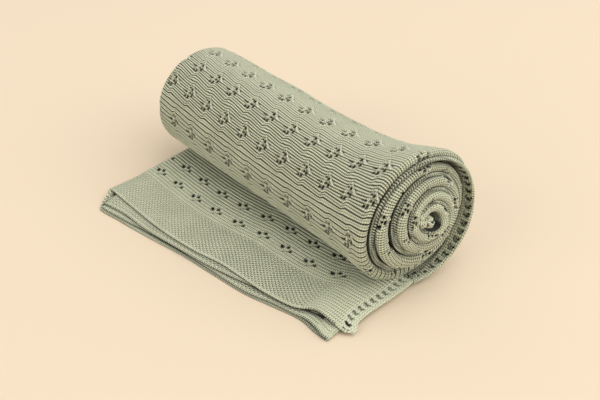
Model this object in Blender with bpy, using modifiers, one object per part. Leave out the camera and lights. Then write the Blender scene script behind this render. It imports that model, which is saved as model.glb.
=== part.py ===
"""Knitted baby blanket, folded lengthwise in four and rolled, one hemmed end left lying flat in front.

The blanket is one sheet of knitting. Its section across the folded strip runs back and forth in four
layers, and that section is carried along the flat end and then round the roll.
X runs along the roll, -Y towards the flat end, Z up. Sizes below are in millimetres.
"""
from collections import namedtuple
from math import cos, pi, radians, sin

import bpy

MM = 0.001

# the cloth
SHEET = 1.8            # thickness of the knitted sheet in the roll
HEM_THINNING = 0.8     # the flat hem is this much thinner than the roll's cloth
LAYERS = 4             # folded in half, and in half again
CORE_RADIUS = 5.5      # radius of the innermost layer at the end of the strip
TURN_FACETS = 18       # facets in one turn, so that the turns' facets lie over each other
ROLL_FACETS = 75       # facets from the floor to the core
TURNS = ROLL_FACETS / TURN_FACETS

# the roll's place in the object's frame
AXIS_X = -127.8        # where the strip's left side lies
AXIS_Y = 34.0          # the centre of the roll

# the flat end, turned a little from the roll
HEM_TURN = radians(7.5)
HEM_CORNER = (14.0, -109.0)    # left front corner of the top layer, seen from the roll's left end
HEM_LAYER = 1.83               # one layer and its gap at the hem

# how far round each layer of the section is, outermost first: a share of the turn's thickness
LEVEL = {"bottom": 0.125, "third": 0.375, "second": 0.625, "top": 0.875}

# outer radius of the roll, by the distance across the strip
Girth = namedtuple("Girth", "across radius")
GIRTHS = (
    Girth(0, 50.2),
    Girth(75, 50.6),
    Girth(150, 50.6),
    Girth(205, 53.0),
    Girth(265, 62.5),
)

# the strip along the roll: shift along the axis, right edges of the top, the second layer and the nose
Turn = namedtuple("Turn", "turn shift top_edge second_edge nose")
TURN_ROWS = (
    Turn(0.00, 0.5, 253.5, 240.0, 254.5),
    Turn(0.15, -2.0, 257.0, 242.0, 257.5),
    Turn(0.30, -4.5, 259.5, 246.0, 257.5),
    Turn(0.45, -6.5, 256.0, 249.0, 251.5),
    Turn(0.60, -7.5, 252.0, 249.5, 249.0),
    Turn(0.75, -7.5, 252.5, 251.0, 250.0),
    Turn(1.00, -5.0, 253.5, 252.0, 251.0),
    Turn(1.25, -3.0, 254.0, 252.5, 252.0),
    Turn(1.75, 0.0, 254.0, 252.5, 252.0),
    Turn(2.75, 6.0, 253.0, 252.0, 251.5),
    Turn(4.15, 11.0, 249.0, 248.5, 248.0),
)
# past the outer turn the strip lies a little askew round the roll: its edges slide by this much
SLANT = 3.6
SLANT_FROM = radians(30)

# where each layer ends at the front: distance past the hem's corner line, by the distance across
HemEnd = namedtuple("HemEnd", "across top second third bottom")
HEM_ENDS = (
    HemEnd(0, 2.0, -15.5, -16.0, -18.5),
    HemEnd(75, -8.5, -14.0, -15.5, -18.0),
    HemEnd(150, -7.0, -9.5, -15.0, -17.0),
    HemEnd(205, -6.0, -2.0, -10.5, -12.0),
    HemEnd(245, 1.0, 2.0, -12.5, -14.5),
)
HEM_INSET = 7.5        # the lower layers' left corner lies this far in
HEM_TOP_EDGE = 252.0   # right edges at the front, which widen to the roll's own further back
HEM_NOSE = 242.0
NOSE_WIDENS = 0.35     # the share of the flat end where the nose starts to widen

# a place in the folded section: distance across the strip, level, and whether it is in the outer fold
Spot = namedtuple("Spot", "across level outer_fold")

# rows of the flat end, from the front edge to the roll
FLAT_ROWS = (0.0, 0.06, 0.15, 0.3, 0.5, 0.7, 0.87)

# unevenness
OVAL = 0.012           # the roll is this much out of round
FLAT_SPOT = 8 / 360    # the roll lies flat on the floor for this share of a turn past its lowest line
SAG = 1.55             # the roll spreads this far on the floor behind its lowest line
SAG_ANGLE = radians(55)
LIFT = 0.55            # the layers stand open by this share near the right front corner
LIFT_AT = 226.0
LIFT_WIDTH = 16.0
DROOP = 3.2            # the top layer's free edge hangs over the nose in the flat end


def interpolate(table, column, at):
    """Straight-line reading of one column of a table whose first column is the position."""
    first = table[0]
    if at <= first[0]:
        return getattr(first, column)
    for low, high in zip(table, table[1:]):
        if at <= high[0]:
            share = (at - low[0]) / (high[0] - low[0])
            return getattr(low, column) * (1 - share) + getattr(high, column) * share
    return getattr(table[-1], column)


def smooth(share):
    share = min(max(share, 0.0), 1.0)
    return share * share * (3 - 2 * share)


def outer_radius(across):
    return interpolate(GIRTHS, "radius", across)


def turn_depth(across):
    """Thickness of one whole turn, four layers and their gaps."""
    return (outer_radius(across) - CORE_RADIUS) / (TURNS + LEVEL["top"])


def fold_arc(edge, side, middle, reach, depth, points):
    """Points of a fold: side is +1 for a nose at the right, -1 for a fold at the left."""
    arc = []
    for i in range(points):
        angle = -pi / 2 + pi * i / (points - 1)
        arc.append((edge - side * reach * (1 - cos(angle)), middle + depth * sin(angle)))
    return arc


def right_edges(turn, share=1.0):
    """Right edges of the top and second layers and of the nose; share is below 1 in the flat end."""
    slide = SLANT * cos(2 * pi * turn - SLANT_FROM) * smooth((turn - 0.95) / 0.3)
    edges = {name: interpolate(TURN_ROWS, name, turn) + slide for name in ("top_edge", "second_edge", "nose")}
    edges["top_edge"] += (HEM_TOP_EDGE - edges["top_edge"]) * (1 - share)
    edges["nose"] += (HEM_NOSE - edges["nose"]) * (1 - smooth((share - NOSE_WIDENS) / (1 - NOSE_WIDENS)))
    return edges


def section(edges, hem_share=0.0):
    """Spots along the folded sheet, from the second layer's edge to the top layer's."""
    layer = turn_depth(0) / LAYERS
    inset = HEM_INSET * hem_share
    stations = (75.0, 150.0, 205.0)
    level = LEVEL
    points = [(edges["second_edge"], level["second"])]
    points += [(x, level["second"]) for x in reversed(stations)]
    inner = fold_arc(inset + layer * 1.1, -1, 0.5, layer * 0.5, 0.125, 5)
    points += reversed(inner)
    points += [(x, level["third"]) for x in stations]
    nose = fold_arc(edges["nose"], 1, 0.25, layer * 0.65, 0.125, 5)
    points += reversed(nose)
    points += [(x, level["bottom"]) for x in reversed(stations)]
    spots = [Spot(x, f, False) for x, f in points]
    # near the front the outer fold leans: its lower side lies further in than its upper side
    for x, f in fold_arc(0.0, -1, 0.5, layer * 1.5, 0.375, 7):
        spots.append(Spot(x + inset * (level["top"] - f) / 0.75, f, True))
    for x in (*stations, edges["top_edge"] - 7.0, edges["top_edge"]):
        spots.append(Spot(x, level["top"], False))
    return spots


def hem_end(spot):
    """How far a layer reaches past the corner line, read between the layers in the folds."""
    names = ("bottom", "top") if spot.outer_fold else ("bottom", "third", "second", "top")
    steps = len(names) - 1
    ends = [interpolate(HEM_ENDS, name, spot.across) for name in names]
    place = steps * (spot.level - LEVEL["bottom"]) / (LEVEL["top"] - LEVEL["bottom"])
    low = min(int(place), steps - 1)
    return ends[low] * (1 - place + low) + ends[low + 1] * (place - low)


def roll_point(turn, spot):
    """A point of the sheet in the roll. The turn is counted from the floor, round by the back."""
    across = spot.across
    radius = outer_radius(across) - turn_depth(across) * (turn + spot.level)
    angle = 2 * pi * turn
    from_floor = angle % (2 * pi)
    if from_floor < SAG_ANGLE:
        radius += SAG * sin(pi * from_floor / SAG_ANGLE) * 0.6 ** int(turn)
    radius *= 1 + OVAL * sin(angle) ** 2
    height = outer_radius(across) - turn_depth(across) * LEVEL["bottom"] + SHEET / 2
    shift = interpolate(TURN_ROWS, "shift", turn)
    return (shift + across, radius * sin(angle), height - radius * cos(angle))


def flat_point(share, spot):
    """A point of the sheet in the flat end: share is 0 at the front edge and 1 under the roll."""
    across, level = spot.across, spot.level
    past = hem_end(spot)
    front_x = HEM_CORNER[0] + across * cos(HEM_TURN) - past * sin(HEM_TURN)
    front_y = HEM_CORNER[1] + across * sin(HEM_TURN) + past * cos(HEM_TURN)
    under_x, under_y, under_z = roll_point(0, spot)
    rise = 1 - HEM_THINNING
    thickness = SHEET * (1 - rise * (1 - smooth(share)))
    layer = HEM_LAYER * (1 - smooth(share)) + turn_depth(across) / LAYERS * smooth(share)
    near_corner = max(0.0, 1 - abs(across - LIFT_AT) / LIFT_WIDTH) * max(0.0, 1 - share / 0.3)
    z = thickness / 2 + (level - LEVEL["bottom"]) * LAYERS * layer * (1 + LIFT * near_corner)
    if level == LEVEL["top"] and across > 246:
        z -= DROOP * (1 - smooth(share))
    z = z * (1 - smooth((share - 0.6) / 0.4)) + under_z * smooth((share - 0.6) / 0.4)
    return (front_x * (1 - share) + under_x * share, front_y * (1 - share) + under_y * share, z)


def sheet_rows():
    """Rows of points across the folded section, from the front edge to the roll's core."""
    rows = []
    for share in FLAT_ROWS:
        hem_share = max(0.0, 1 - share / 0.25)
        row = [flat_point(share, spot) for spot in section(right_edges(0.0, share), hem_share)]
        rows.append((row, HEM_THINNING + (1 - HEM_THINNING) * smooth(share)))
    turns = [step / TURN_FACETS for step in range(ROLL_FACETS + 1)]
    turns.insert(1, FLAT_SPOT)
    for turn in turns:
        row = [roll_point(turn, spot) for spot in section(right_edges(turn))]
        rows.append((row, 1.0))
    return rows


def sage_cotton():
    material = bpy.data.materials.new("sage cotton")
    material.use_nodes = True
    shader = material.node_tree.nodes["Principled BSDF"]
    shader.inputs["Base Color"].default_value = (0.335, 0.355, 0.235, 1.0)
    shader.inputs["Roughness"].default_value = 0.9
    shader.inputs["Metallic"].default_value = 0.0
    return material


def build_blanket(collection):
    """A loft of the folded section, given its thickness by Solidify."""
    rows = sheet_rows()
    width = len(rows[0][0])
    points = []
    for row, _ in rows:
        points += [((AXIS_X + x) * MM, (AXIS_Y + y) * MM, z * MM) for x, y, z in row]
    faces = []
    for r in range(len(rows) - 1):
        for c in range(width - 1):
            a = r * width + c
            faces.append((a, a + 1, a + width + 1, a + width))
    mesh = bpy.data.meshes.new("blanket")
    mesh.from_pydata(points, [], faces)
    blanket = bpy.data.objects.new("blanket", mesh)
    collection.objects.link(blanket)
    mesh.materials.append(sage_cotton())
    mesh.shade_smooth()
    group = blanket.vertex_groups.new(name="thickness")
    for r, (_, weight) in enumerate(rows):
        group.add(range(r * width, (r + 1) * width), weight, "REPLACE")
    shell = blanket.modifiers.new("sheet", "SOLIDIFY")
    shell.thickness = SHEET * MM
    shell.offset = 0.0
    shell.vertex_group = group.name
    return blanket


def main():
    for old in list(bpy.data.objects):
        bpy.data.objects.remove(old, do_unlink=True)
    collection = bpy.data.collections.new("knitted blanket")
    bpy.context.scene.collection.children.link(collection)
    build_blanket(collection)


main()
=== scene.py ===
# Knitted baby blanket: folded lengthwise in four, rolled up, one hemmed end lying flat in front of the roll.
# X runs along the roll, -Y towards the flat end, Z up. Sizes are in millimetres until a mesh is made.
import math

import bpy
import numpy as np
from mathutils import Matrix, Vector


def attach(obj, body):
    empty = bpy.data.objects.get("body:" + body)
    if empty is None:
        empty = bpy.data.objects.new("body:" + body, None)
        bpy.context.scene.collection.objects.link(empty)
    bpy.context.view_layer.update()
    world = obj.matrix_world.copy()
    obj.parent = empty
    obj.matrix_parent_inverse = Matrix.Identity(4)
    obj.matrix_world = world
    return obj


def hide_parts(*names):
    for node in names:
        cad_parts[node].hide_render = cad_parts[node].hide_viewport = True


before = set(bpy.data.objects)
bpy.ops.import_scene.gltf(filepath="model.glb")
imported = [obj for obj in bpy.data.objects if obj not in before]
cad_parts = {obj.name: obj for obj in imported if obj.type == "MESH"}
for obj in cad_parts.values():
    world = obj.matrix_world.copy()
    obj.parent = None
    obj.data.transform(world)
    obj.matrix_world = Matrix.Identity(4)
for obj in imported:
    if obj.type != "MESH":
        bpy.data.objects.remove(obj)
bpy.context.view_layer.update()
print("frame loaded:", len(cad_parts), "solid")

mm = 0.001


# The lay of the cloth

layOfRoll = {
    "axisX": -127.8,             # where the strip's left side lies
    "axisY": 34.0,               # the middle of the roll
    "sheet": 1.8,                # thickness of the cloth
    "coreRadius": 5.5,           # innermost layer at the end of the strip
    "turns": 75 / 18,
    "oval": 0.012,               # out of round by this share
    "sag": 1.55,                 # spread on the floor behind the lowest line
    "sagAngle": math.radians(55),
    "sagKept": 0.6,              # share of it left in each turn further in
}
layOfHem = {
    "turned": math.radians(7.5),  # the flat end, turned from the roll
    "corner": (14.0, -109.0),     # its left front corner, from the roll's left end
    "layer": 1.83,                # one layer and its gap
    "thinning": 0.8,              # the hem is this much thinner
    "inset": 7.5,                 # the lower layers' left corner lies this far in
    "insetEnds": 0.25,            # this and the like: shares of the way from the hem to the roll
    "topEdge": 252.0,             # right edges at the front
    "hollow": 4.5,                # the top layer's right edge curves in behind its corner
    "hollowFull": 0.11,
    "hollowEnds": (0.12, 0.31),   # from here, and over this much
    "reach": 2.6,                 # its left corner reaches out
    "reachEnds": 0.3,
    "reachWidth": 30,
    "nose": 242.0,
    "noseWidens": 0.35,
    "droop": 3.2,                 # the top layer's free edge hangs over the nose
    "droopAcross": (236, 16),
    "droopEnds": (0.42, 0.28),    # in turns
    "lift": 0.55,                 # the layers stand open near the right front corner
    "liftAt": 226.0,
    "liftWidth": 11.0,
    "liftEnds": 0.3,
    "settles": (0.6, 0.4),        # the layers come together under the roll
}

girth = {"across": (0, 75, 150, 205, 265), "radius": (50.2, 50.6, 50.6, 53.0, 62.5)}
# the strip's shift along the roll, and the edges of its layers at the right, by the turn
turnTable = {
    "turn": (0, 0.15, 0.3, 0.45, 0.6, 0.75, 1.0, 1.25, 1.75, 2.75, 4.15),
    "shift": (0.5, -2.0, -3.5, -4.3, -5.0, -5.8, -4.5, -3.0, 0.0, 6.0, 11.0),
    "topEdge": (253.5, 262, 259.5, 254, 249.5, 250.8, 253, 254, 254, 253, 250.5),
    "secondEdge": (240, 242, 245, 246.8, 247, 249.3, 251.5, 252.5, 252.5, 252, 249.5),
    "nose": (250.5, 253, 252.5, 248.3, 246.5, 248.3, 250.5, 252, 252, 252, 251),
}
# past the outer turn the strip lies a little askew round the roll
slant = {"reach": 3.6, "from": math.radians(30), "starts": 0.95, "full": 1.25}
# at the right end the inner turns are wound off centre
endWinding = {
    "turn": (0, 1.0, 1.5, 2.5, 3.5, 4.2, 4.5, 4.75, 5.1),
    "inward": (0, 0, 0.5, 2.4, 1.6, 0, -0.9, -1.1, -1.6),
    "rise": (0, 0, 1.8, 5.6, 6.6, 6.6, 6.6, 6.6, 6.6),
    "lean": (0, 0, 0.4, 1.8, 2.0, 1.9, 1.9, 1.9, 1.9),
}
windingAcross = (195, 45)        # from this far across, and over this much
stripTip = {"turn": 5.06, "rounding": 2.6, "corner": 4.5, "retreat": 3.2}    # the rounded end in the core
noseLevel = 0.3                  # the rounded nose's middle, as a share of a turn's thickness
tipLevel = 0.31                  # its layers close up round this share of a turn's thickness
# from here the end leaves the winding and tucks into the core: its middle from the core's centre
tuck = {
    "turn": (4.5, 4.6, 4.68, 4.75, 4.81, 4.89, 4.97, 5.07),
    "y": (1.4, -3.6, -7.1, -8.3, -6.8, -4.5, -1.5, 2.8),
    "z": (6.7, 4.4, 3.0, 0.5, -1.2, -1.7, -2.2, -3.7),
}
tuckCentre = (34.5, 68.0)
tuckStarts, tuckFull = 4.58, 4.68
# where each layer ends in front of the hem's corner line, by the distance across
topEnd = {
    "across": (0, 38, 75, 110, 136, 152, 182, 208, 218, 233, 245, 248, 250.5),
    "past": (2, -4, -8.5, -8.6, -6.2, -7, -8.2, -5, -0.8, -0.7, 0.4, 1.2, 3.6),
}
secondEnd = {
    "across": (0, 12, 26, 59, 96, 131, 155, 205, 245),
    "past": (-15.5, -13.4, -12, -14.4, -13.8, -12.3, -9.5, -2, 2),
}
thirdEnd = {
    "across": (0, 7, 32, 60, 98, 135, 169, 190, 207, 217, 231, 239, 245),
    "past": (-13.5, -16, -16.3, -14.5, -13.2, -14, -13.8, -10, -8.2, -7.4, -10.4, -12.6, -11.3),
}
bottomEnd = {
    "across": (0, 7, 32, 75, 98, 135, 169, 190, 217, 231, 245),
    "past": (-15.5, -18, -18.3, -16.6, -15, -15.3, -15, -11.8, -9, -12, -13),
}
# how far into a turn's thickness each layer lies, along the strip and at its right end
levels = {"bottom": 0.125, "third": 0.375, "second": 0.625, "top": 0.875}
endLevels = {"bottom": 0.115, "third": 0.50, "second": 0.725, "top": 0.915}
endStarts, endFull = 205.0, 238.0
noseSwell = {"height": 1.1, "across": (222, 14)}    # the rounded nose is this much thicker
# the folds at the left, in shares of a turn's thickness
foldMiddle, foldHalf, innerFoldHalf = 0.5, 0.375, 0.125
onTopLevels = (levels["second"], 0.2)               # from the second layer up, a place counts as on top


def ease(share):
    share = np.clip(share, 0, 1)
    return share * share * (3 - 2 * share)


def rise(value, span):
    # 0 up to the span's start, and 1 past its width
    start, width = span
    return ease((value - start) / width)


def fall(value, span):
    # 1 until the span's width before its end, and 0 past the end
    end, width = span
    return ease((end - value) / width)


def readTable(table, column, at):
    # one column of a table at any place, on a smooth curve through its values
    places = np.array(table[next(iter(table))], float)
    values = np.array(table[column], float)
    slopes = np.gradient(values, places)
    at = np.clip(at, places[0], places[-1])
    i = np.clip(np.searchsorted(places, at, side="right") - 1, 0, len(places) - 2)
    span = places[i + 1] - places[i]
    t = (at - places[i]) / span
    gain = values[i + 1] - values[i]
    start = slopes[i] * span
    end = slopes[i + 1] * span
    return values[i] + t * start + t * t * (3 * gain - 2 * start - end) + t ** 3 * (start + end - 2 * gain)


def turnDepth(across):
    # four layers and their gaps
    thickness = readTable(girth, "radius", across) - layOfRoll["coreRadius"]
    return thickness / (layOfRoll["turns"] + levels["top"])


layer = float(turnDepth(0)) / 4
foldReach = layer * 1.5
innerFold = {"start": layer * 1.1, "reach": layer * 0.5, "ends": layer * 1.6}


def layerLevel(name, across, edges):
    atEnd = ease((across - endStarts) / (endFull - endStarts)) * edges["rolled"]
    level = levels[name] + (endLevels[name] - levels[name]) * atEnd
    return tipLevel + (level - tipLevel) * edges["tip"]


def sheetAt(rolled):
    # the cloth's thickness, from 0 at the hem to 1 in the roll
    return layOfRoll["sheet"] * (1 - (1 - layOfHem["thinning"]) * (1 - rolled))


def edgesOf(course):
    # the strip's edges at a course: 0 at the hem, 1 under the roll, and one more for each turn
    turn = np.maximum(course - 1, 0)
    share = np.clip(course, 0, 1)
    widens = ease((share - layOfHem["noseWidens"]) / (1 - layOfHem["noseWidens"]))
    askew = ease((turn - slant["starts"]) / (slant["full"] - slant["starts"]))
    slide = slant["reach"] * np.cos(2 * math.pi * turn - slant["from"]) * askew
    edges = {name: readTable(turnTable, name, turn) + slide for name in ("topEdge", "secondEdge", "nose")}
    curve = layOfHem["hollow"] * ease(share / layOfHem["hollowFull"])
    curve = curve * (1 - rise(share, layOfHem["hollowEnds"]))
    edges["topEdge"] = edges["topEdge"] + (layOfHem["topEdge"] - edges["topEdge"]) * (1 - share) - curve
    edges["nose"] = edges["nose"] + (layOfHem["nose"] - edges["nose"]) * (1 - widens)
    edges["inset"] = layOfHem["inset"] * np.maximum(0, 1 - share / layOfHem["insetEnds"])
    edges["rolled"] = ease(share)
    left = (stripTip["turn"] - turn) * 2 * math.pi * layOfRoll["coreRadius"]
    edges["tip"] = np.sqrt(1 - np.clip(1 - left / stripTip["rounding"], 0, 1) ** 2)
    edges["nose"] = edges["nose"] - stripTip["retreat"] * (1 - ease(left / stripTip["corner"]))
    # between these the layers lie straight
    edges["straight"] = edges["nose"] - noseReach(edges)
    edges["foldEnds"] = foldReach + edges["inset"]
    edges["innerFoldEnds"] = edges["inset"] + innerFold["ends"]
    return edges


def noseReach(edges):
    low = layerLevel("bottom", edges["nose"], edges)
    high = layerLevel("third", edges["nose"], edges)
    return (high - low) / 2 * turnDepth(edges["nose"])


def hemEndAt(across, level, inFold):
    # how far past the corner line the cloth ends, blended between the layers, and straight round a fold
    ends = [readTable(t, "past", across) for t in (bottomEnd, thirdEnd, secondEnd, topEnd)]
    place = (level - levels["bottom"]) / (levels["top"] - levels["bottom"])
    byLayer = np.clip(3 * place, 0, 3)
    low = np.minimum(byLayer.astype(int), 2)
    between = byLayer - low
    lower = np.choose(low, ends[:3])
    upper = np.choose(low, ends[1:])
    stepped = lower * (1 - between) + upper * between
    folded = ends[0] * (1 - place) + ends[3] * place
    return np.where(inFold, folded, stepped)


def clothLength(across, level, inFold):
    # from a layer's end to the line under the roll
    past = hemEndAt(across, level, inFold)
    x, y = hemFront(across, past)
    return np.hypot(x - across - readTable(turnTable, "shift", 0), y)


def hemFront(across, past):
    # a place on the flat end's front, from the roll's left end and middle line
    turned = layOfHem["turned"]
    x = layOfHem["corner"][0] + across * math.cos(turned) - past * math.sin(turned)
    y = layOfHem["corner"][1] + across * math.sin(turned) + past * math.cos(turned)
    return x, y


def tuckAt(turn, outwards):
    # a place on the tucked end: along its bent middle line, and out to one side of it
    y, z = readTable(tuck, "y", turn), readTable(tuck, "z", turn)
    ahead = turn + 0.01
    alongY = readTable(tuck, "y", ahead) - readTable(tuck, "y", turn - 0.01)
    alongZ = readTable(tuck, "z", ahead) - readTable(tuck, "z", turn - 0.01)
    size = np.maximum(np.hypot(alongY, alongZ), 1e-6)
    y = y + alongZ / size * outwards + tuckCentre[0] - layOfRoll["axisY"]
    z = z - alongY / size * outwards + tuckCentre[1]
    return y, z


def placeCloth(skin, course, tip, lift):
    # points of the cloth's skin in metres, lifted off its middle
    # a tip past 0 turns the skin round the hem's end
    across, level = skin["across"], skin["level"]
    share = np.clip(course, 0, 1)
    turn = np.maximum(course - 1, 0)
    depth = turnDepth(across)
    outer = readTable(girth, "radius", across)
    outX = skin["outX"] * lift * np.cos(tip)
    inward = skin["outIn"] * lift * np.cos(tip)

    angle = 2 * math.pi * turn
    fromFloor = angle % (2 * math.pi)
    kept = layOfRoll["sagKept"] ** np.floor(turn)
    spread = layOfRoll["sag"] * np.sin(math.pi * fromFloor / layOfRoll["sagAngle"]) * kept
    radius = outer - depth * (turn + level) - inward
    radius = radius + np.where(fromFloor < layOfRoll["sagAngle"], spread, 0)
    radius = radius * (1 + layOfRoll["oval"] * np.sin(angle) ** 2)
    nearEnd = rise(across, windingAcross)
    wound = np.maximum(turn + level - noseLevel, 0)
    overhang = layOfHem["droop"] * rise(across, layOfHem["droopAcross"]) * rise(level, onTopLevels)
    radius = radius - readTable(endWinding, "inward", wound) * nearEnd
    radius = radius + overhang * (1 - rise(turn, layOfHem["droopEnds"]))
    height = outer - depth * levels["bottom"] + layOfRoll["sheet"] / 2
    rolledX = readTable(turnTable, "shift", turn) + across + outX
    rolledY = radius * np.sin(angle) + readTable(endWinding, "lean", wound) * nearEnd
    rolledZ = height - radius * np.cos(angle) + readTable(endWinding, "rise", wound) * nearEnd
    if turn.max() > tuckStarts:
        tucked = ease((turn - tuckStarts) / (tuckFull - tuckStarts))
        outwards = depth * (tipLevel - level) - inward
        tuckedY, tuckedZ = tuckAt(turn, outwards)
        rolledY = rolledY * (1 - tucked) + tuckedY * tucked
        rolledZ = rolledZ * (1 - tucked) + tuckedZ * tucked

    eased = ease(share)
    frontX, frontY = hemFront(across, hemEndAt(across, level, skin["inFold"]))
    pitch = layOfHem["layer"] * (1 - eased) + depth / 4 * eased
    sheet = sheetAt(eased)
    nearCorner = np.exp(-((across - layOfHem["liftAt"]) / layOfHem["liftWidth"]) ** 2)
    nearCorner = nearCorner * np.maximum(0, 1 - share / layOfHem["liftEnds"])
    flatZ = sheet / 2 + (level - levels["bottom"]) * 4 * pitch * (1 + layOfHem["lift"] * nearCorner)
    onTop = ease((level - levels["second"]) / (levels["top"] - levels["second"]))
    flatZ = flatZ - layOfHem["droop"] * rise(across, layOfHem["droopAcross"]) * onTop
    underZ = height - (outer - depth * level) - overhang
    settles = rise(share, layOfHem["settles"])
    flatX = frontX * (1 - share) + (readTable(turnTable, "shift", 0) + across) * share + outX
    cornerShare = (1 - ease(share / layOfHem["reachEnds"])) * (1 - ease(across / layOfHem["reachWidth"]))
    flatX = flatX - layOfHem["reach"] * onTop * cornerShare
    flatY = frontY * (1 - share) + outX * math.sin(layOfHem["turned"]) * (1 - share)
    flatZ = flatZ * (1 - settles) + underZ * settles + inward
    forward = lift * np.sin(tip)
    flatX = flatX + forward * math.sin(layOfHem["turned"])
    flatY = flatY - forward * math.cos(layOfHem["turned"])

    inRoll = course > 1
    x = np.where(inRoll, rolledX, flatX) + layOfRoll["axisX"]
    y = np.where(inRoll, rolledY, flatY) + layOfRoll["axisY"]
    z = np.where(inRoll, rolledZ, flatZ)
    return np.stack([x, y, z], -1) * mm


# Runs of the section: each gives places across the strip, with the way that the skin faces there

def run(across, level, outX, outIn, inFold=False, swell=0):
    return {
        "across": across,
        "level": level,
        "outX": outX + 0 * across,
        "outIn": outIn + 0 * across,
        "inFold": np.full(across.shape, inFold),
        "swell": swell + 0 * across,
    }


def anglesOf(edges, start, end, steps):
    return np.radians(np.linspace(start, end, steps + 1))[None, :] + 0 * edges["nose"]


def layerRun(edges, name, face, start, end, steps):
    # along one layer: face is 1 for the side towards the core and -1 for the other
    share = np.linspace(0, 1, steps + 1)[None, :]
    across = start * (1 - share) + end * share
    swell = rise(across, noseSwell["across"]) * (name in ("bottom", "third")) * edges["rolled"]
    return run(across, layerLevel(name, across, edges), 0, face, swell=swell)


def foldRun(edges, start, end, steps, face=1):
    # round the outer fold at the left, by the angle from its left side
    angle = anglesOf(edges, start, end, steps)
    level = foldMiddle + foldHalf * np.sin(angle)
    slope = edges["inset"] * (levels["top"] - level) / (levels["top"] - levels["bottom"])
    across = slope + foldReach * (1 - np.cos(angle))
    return run(across, level, -np.cos(angle) * face, np.sin(angle) * face, inFold=True)


def innerFoldRun(edges, end, steps, face):
    # round the inner fold at the left, between the third and the second layer
    angle = anglesOf(edges, 0, end, steps)
    across = edges["inset"] + innerFold["start"] + innerFold["reach"] * (1 - np.cos(angle))
    level = foldMiddle + innerFoldHalf * np.sin(angle)
    return run(across, level, np.cos(angle) * face, -np.sin(angle) * face)


def noseRun(edges, start, end, steps, face=1):
    # round the nose at the right, between the bottom and the third layer
    angle = anglesOf(edges, start, end, steps)
    low = layerLevel("bottom", edges["nose"], edges)
    high = layerLevel("third", edges["nose"], edges)
    level = (low + high) / 2 + (high - low) / 2 * np.sin(angle)
    across = edges["nose"] - noseReach(edges) * (1 - np.cos(angle))
    return run(across, level, np.cos(angle) * face, np.sin(angle) * face, swell=edges["rolled"])


def rimRun(edges, name, steps):
    # round a layer's free edge, from the side towards the core to the other
    angle = anglesOf(edges, 90, -90, steps)
    across = edges[name + "Edge"] + 0 * angle
    return run(across, layerLevel(name, across, edges), np.cos(angle), np.sin(angle))


def joinRuns(runs):
    # the runs one after another, each without its last place but the final one
    joined = {}
    for key in runs[0]:
        joined[key] = np.concatenate([r[key][:, :-1] for r in runs[:-1]] + [runs[-1][key]], axis=1)
    return joined


def measureAcross(skin, lift):
    # the way along the skin from side to side, equal to the place across where the cloth lies flat
    x = skin["across"] + skin["outX"] * lift
    depth = skin["level"] * turnDepth(skin["across"]) + skin["outIn"] * lift
    steps = np.hypot(np.diff(x, axis=1), np.diff(depth, axis=1))
    way = np.concatenate([np.zeros((len(x), 1)), np.cumsum(steps, axis=1)], axis=1)
    flat = int(np.argmax(np.abs(skin["outX"][0]) < 1e-9))
    heading = 1 if skin["across"][0, flat + 1] > skin["across"][0, flat] else -1
    return heading * (way - way[:, flat:flat + 1]) + skin["across"][:, flat:flat + 1]


# Lengths along the rolled strip, measured on the outer face at the middle of its width

turnSteps = np.linspace(0, 5.2, 2501)
middleAcross = 150.0


def arcAt(level, across, lift=0.0):
    # the length along one level of the roll at each of the turn's steps
    radius = readTable(girth, "radius", across) - turnDepth(across) * (turnSteps + level) + lift
    radius = np.maximum(radius, 1)
    return np.concatenate([[0], np.cumsum((radius[1:] + radius[:-1]) * math.pi * np.diff(turnSteps))])


outerArc = arcAt(levels["bottom"], middleAcross, layOfRoll["sheet"] / 2)


def courseAt(length):
    return 1 + np.interp(length, outerArc, turnSteps)


# The pattern: paired ribs across the strip, with rows of openwork leaves between them

rollPattern = {
    "rib": 2.025,
    "leafPitch": 23.7,           # from leaf to leaf across
    "rowPitch": 24.4,            # from row to row of leaves
    "firstRow": 6.6,             # the row nearest the floor line
    "evenStart": 11.8,
    "oddStart": 22.2,
    # the rows in front lie unevenly
    "unevenAt": (128.6, 153.0, 177.4, 201.8, 226.2),
    "unevenAlong": (-1.0, -2.1, -3.7, -6.0, -0.8),
    "unevenAcross": (4.5, 2.8, -0.5, -3.8, 1.0),
    "arch": 5.0,                 # and curve towards their ends
    "archMiddle": 150.0,
    "archHalf": 130.0,
    "calmed": 0.6,               # the ribs are weaker among the eyelets
    # the ribs step up at a leaf's top and at its tip, and sink slowly from there to the next leaf
    "stepAlong": (-7.5, 8.0),
    "stepStart": (-5.0, 0.0),
    "stepWidth": (5.0, 4.5),
    "stepHeight": (0.75, 1.05),
    "stepReach": 5.0,
}
hemPattern = {
    "rib": 3.25,
    "leafPitch": 24.6,
    "rowPitch": 19.5,
    "firstRow": 47.0,
    "evenStart": 10.5,
    "oddStart": 22.8,
    "stepAlong": (6.5, -6.0),
    "stepStart": (-4.0, -1.0),
    "stepWidth": (5.0, 4.5),
    "stepHeight": (-0.45, -0.3),
    "stepReach": 4.5,
    "bandWidth": 36.0,           # the dotted hem
    "bandEnds": 217.0,           # it stops at the ribbed right border
    "dotPitch": 3.8,
    "dotWide": 0.75,
    "dotLong": 0.55,
}
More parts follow.
